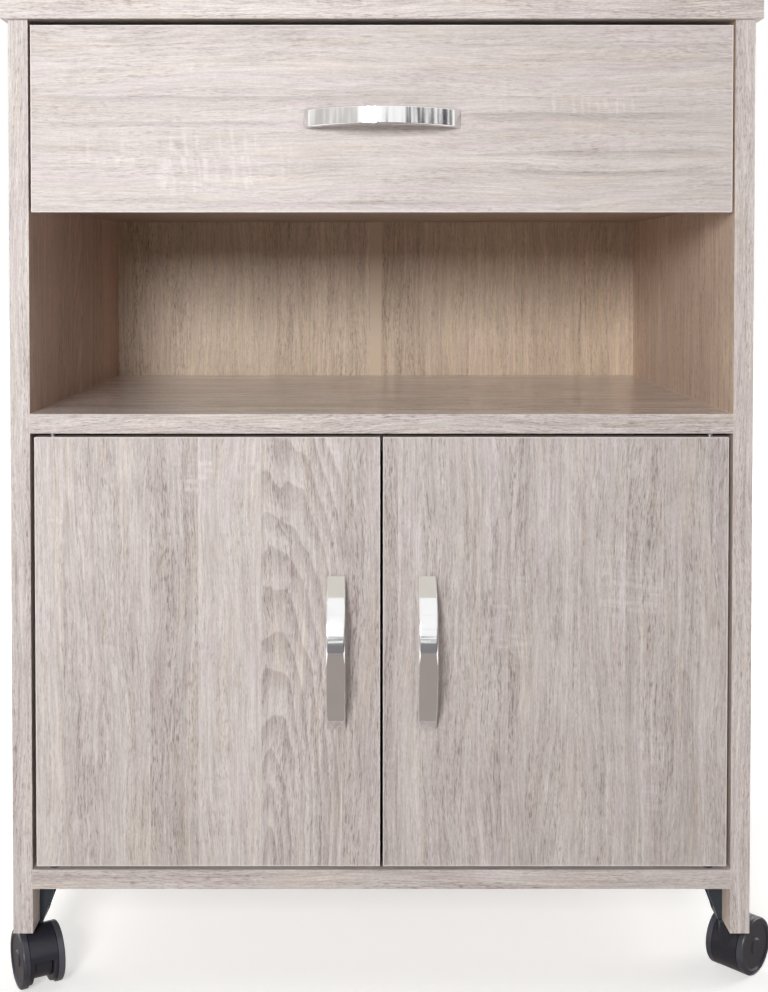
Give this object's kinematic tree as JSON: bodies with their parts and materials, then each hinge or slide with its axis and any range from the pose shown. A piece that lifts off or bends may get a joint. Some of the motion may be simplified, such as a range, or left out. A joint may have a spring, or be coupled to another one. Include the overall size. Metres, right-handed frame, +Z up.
{
  "type": "microwave cart",
  "caption": "Rolling kitchen cart in pale oak laminate: a drawer over an open microwave bay, a two-door cupboard with an inner shelf, chrome bow handles and twin-wheel casters.",
  "frame": {"origin": "on the floor under the middle of the cart's overall box", "axes": "+Z up, +X to the right seen from the front, -Y towards the user; the drawer and the doors open towards -Y"},
  "size_m": [0.6505, 0.426, 0.7944],
  "materials": {
    "oak_laminate": "printed washed-oak melamine laminate, fine matt grain",
    "back_board": "thin printed fibreboard",
    "joint_strip": "beige extruded plastic",
    "zinc_steel": "bright zinc plate",
    "bare_steel": "plain bright steel",
    "chrome": "polished chrome plate",
    "cap_plastic": "self-adhesive cover caps in the laminate's colour",
    "birch": "turned beech dowels",
    "grey_plastic": "moulded grey plastic",
    "bracket_plastic": "moulded dark grey plastic",
    "nylon": "natural nylon",
    "caster_plastic": "moulded black nylon, soft gloss",
    "wheel_plastic": "moulded black nylon wheel"
  },
  "bodies": {
    "carcass": {"top_panel": "oak_laminate", "left_side_panel": "oak_laminate", "right_side_panel": "oak_laminate", "bottom_panel": "oak_laminate", "middle_shelf": "oak_laminate", "drawer_deck": "oak_laminate", "inner_shelf": "oak_laminate", "back_sheet_left": "back_board", "back_sheet_right": "back_board", "back_joint_strip": "joint_strip", "shelf_pins": "zinc_steel", "carcass_screws": "zinc_steel", "screw_caps": "cap_plastic", "cam_locks": "zinc_steel", "wood_dowels": "birch", "back_nails": "bare_steel", "cabinet_runners": "zinc_steel", "magnetic_catch": "grey_plastic", "catch_magnets": "bare_steel", "pivot_bushes": "bracket_plastic", "corner_brackets": "bracket_plastic", "caster_sleeves": "nylon", "mounting_screws": "bare_steel"},
    "cabinet_roller_pair": {"cabinet_rollers": "nylon"},
    "drawer": {"drawer_front": "oak_laminate", "drawer_left_side": "oak_laminate", "drawer_right_side": "oak_laminate", "drawer_back": "oak_laminate", "drawer_floor": "back_board", "drawer_runners": "zinc_steel", "drawer_handle": "chrome", "drawer_cams": "zinc_steel", "drawer_screws": "bare_steel"},
    "drawer_roller_pair": {"drawer_rollers": "nylon"},
    "left_door_leaf": {"left_door": "oak_laminate", "left_door_handle": "chrome", "left_door_pins": "bare_steel", "left_strike_plate": "zinc_steel", "left_door_screws": "bare_steel"},
    "right_door_leaf": {"right_door": "oak_laminate", "right_door_handle": "chrome", "right_door_pins": "bare_steel", "right_strike_plate": "zinc_steel", "right_door_screws": "bare_steel"},
    "front_left_caster": {"front_left_hood": "caster_plastic", "front_left_pins": "bare_steel"},
    "front_left_roll_a": {"front_left_wheel_a": "wheel_plastic"},
    "front_left_roll_b": {"front_left_wheel_b": "wheel_plastic"},
    "front_right_caster": {"front_right_hood": "caster_plastic", "front_right_pins": "bare_steel"},
    "front_right_roll_a": {"front_right_wheel_a": "wheel_plastic"},
    "front_right_roll_b": {"front_right_wheel_b": "wheel_plastic"},
    "rear_left_caster": {"rear_left_hood": "caster_plastic", "rear_left_pins": "bare_steel"},
    "rear_left_roll_a": {"rear_left_wheel_a": "wheel_plastic"},
    "rear_left_roll_b": {"rear_left_wheel_b": "wheel_plastic"},
    "rear_right_caster": {"rear_right_hood": "caster_plastic", "rear_right_pins": "bare_steel"},
    "rear_right_roll_a": {"rear_right_wheel_a": "wheel_plastic"},
    "rear_right_roll_b": {"rear_right_wheel_b": "wheel_plastic"}
  },
  "joints": [
    {"name": "drawer_slide", "type": "slide", "parent": "carcass", "child": "drawer", "axis": [0, -1, 0], "range_m": [0, 0.29]},
    {"name": "cabinet_roller_spin", "type": "hinge", "parent": "carcass", "child": "cabinet_roller_pair", "pos_m": [0, -0.1495, 0.6717], "axis": [1, 0, 0], "range_deg": [-5, 2090]},
    {"name": "drawer_roller_spin", "type": "hinge", "parent": "drawer", "child": "drawer_roller_pair", "pos_m": [0, 0.1675, 0.6712], "axis": [1, 0, 0], "range_deg": [-5, 2090]},
    {"name": "left_door_hinge", "type": "hinge", "parent": "carcass", "child": "left_door_leaf", "pos_m": [-0.2629, -0.17525, 0.1041], "axis": [0, 0, -1], "range_deg": [0, 110]},
    {"name": "right_door_hinge", "type": "hinge", "parent": "carcass", "child": "right_door_leaf", "pos_m": [0.2629, -0.17525, 0.1041], "axis": [0, 0, 1], "range_deg": [0, 110]},
    {"name": "front_left_swivel", "type": "hinge", "parent": "carcass", "child": "front_left_caster", "pos_m": [-0.28725, -0.151, 0.0496], "axis": [0, 0, 1], "continuous": true},
    {"name": "front_left_wheel_a_spin", "type": "hinge", "parent": "front_left_caster", "child": "front_left_roll_a", "pos_m": [-0.28021, -0.16424, 0.0232], "axis": [0.8829, 0.4695, 0], "continuous": true},
    {"name": "front_left_wheel_b_spin", "type": "hinge", "parent": "front_left_caster", "child": "front_left_roll_b", "pos_m": [-0.28021, -0.16424, 0.0232], "axis": [0.8829, 0.4695, 0], "continuous": true},
    {"name": "front_right_swivel", "type": "hinge", "parent": "carcass", "child": "front_right_caster", "pos_m": [0.28725, -0.151, 0.0496], "axis": [0, 0, 1], "continuous": true},
    {"name": "front_right_wheel_a_spin", "type": "hinge", "parent": "front_right_caster", "child": "front_right_roll_a", "pos_m": [0.29786, -0.14039, 0.0232], "axis": [-0.7071, 0.7071, 0], "continuous": true},
    {"name": "front_right_wheel_b_spin", "type": "hinge", "parent": "front_right_caster", "child": "front_right_roll_b", "pos_m": [0.29786, -0.14039, 0.0232], "axis": [-0.7071, 0.7071, 0], "continuous": true},
    {"name": "rear_left_swivel", "type": "hinge", "parent": "carcass", "child": "rear_left_caster", "pos_m": [-0.28725, 0.177, 0.0496], "axis": [0, 0, 1], "continuous": true},
    {"name": "rear_left_wheel_a_spin", "type": "hinge", "parent": "rear_left_caster", "child": "rear_left_roll_a", "pos_m": [-0.29729, 0.16585, 0.0232], "axis": [0.7431, -0.6691, 0], "continuous": true},
    {"name": "rear_left_wheel_b_spin", "type": "hinge", "parent": "rear_left_caster", "child": "rear_left_roll_b", "pos_m": [-0.29729, 0.16585, 0.0232], "axis": [0.7431, -0.6691, 0], "continuous": true},
    {"name": "rear_right_swivel", "type": "hinge", "parent": "carcass", "child": "rear_right_caster", "pos_m": [0.28725, 0.177, 0.0496], "axis": [0, 0, 1], "continuous": true},
    {"name": "rear_right_wheel_a_spin", "type": "hinge", "parent": "rear_right_caster", "child": "rear_right_roll_a", "pos_m": [0.29238, 0.1629, 0.0232], "axis": [0.9397, 0.342, 0], "continuous": true},
    {"name": "rear_right_wheel_b_spin", "type": "hinge", "parent": "rear_right_caster", "child": "rear_right_roll_b", "pos_m": [0.29238, 0.1629, 0.0232], "axis": [0.9397, 0.342, 0], "continuous": true}
  ],
  "couplings": [
    {"joint": "cabinet_roller_spin", "follows": "drawer_slide", "rad_per_m": 125},
    {"joint": "drawer_roller_spin", "follows": "drawer_slide", "rad_per_m": 125}
  ]
}
